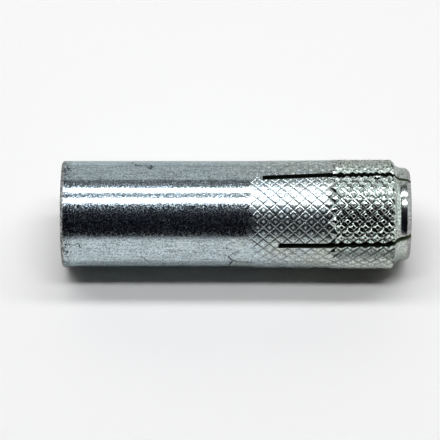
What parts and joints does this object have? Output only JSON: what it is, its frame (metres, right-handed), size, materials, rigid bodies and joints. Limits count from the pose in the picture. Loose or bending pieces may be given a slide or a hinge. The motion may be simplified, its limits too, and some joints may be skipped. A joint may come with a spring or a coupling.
{
  "type": "drop-in expansion anchor",
  "caption": "Hollow zinc-plated steel drop-in anchor with an internal thread, knurled slotted fingers, a swaged nose and a tapered expander plug inside.",
  "frame": {"origin": "centre of the threaded mouth's end face, on the axis", "axes": "+Z along the axis from the threaded mouth to the swaged nose; the part stands on its mouth face"},
  "size_m": [0.0204, 0.0204, 0.065],
  "materials": {
    "zinc_plated_steel": "satin, clear blue passivated zinc",
    "plain_steel": "turned, lightly oiled"
  },
  "bodies": {
    "root": {"sleeve": "zinc_plated_steel", "expander_plug": "plain_steel"}
  },
  "joints": []
}
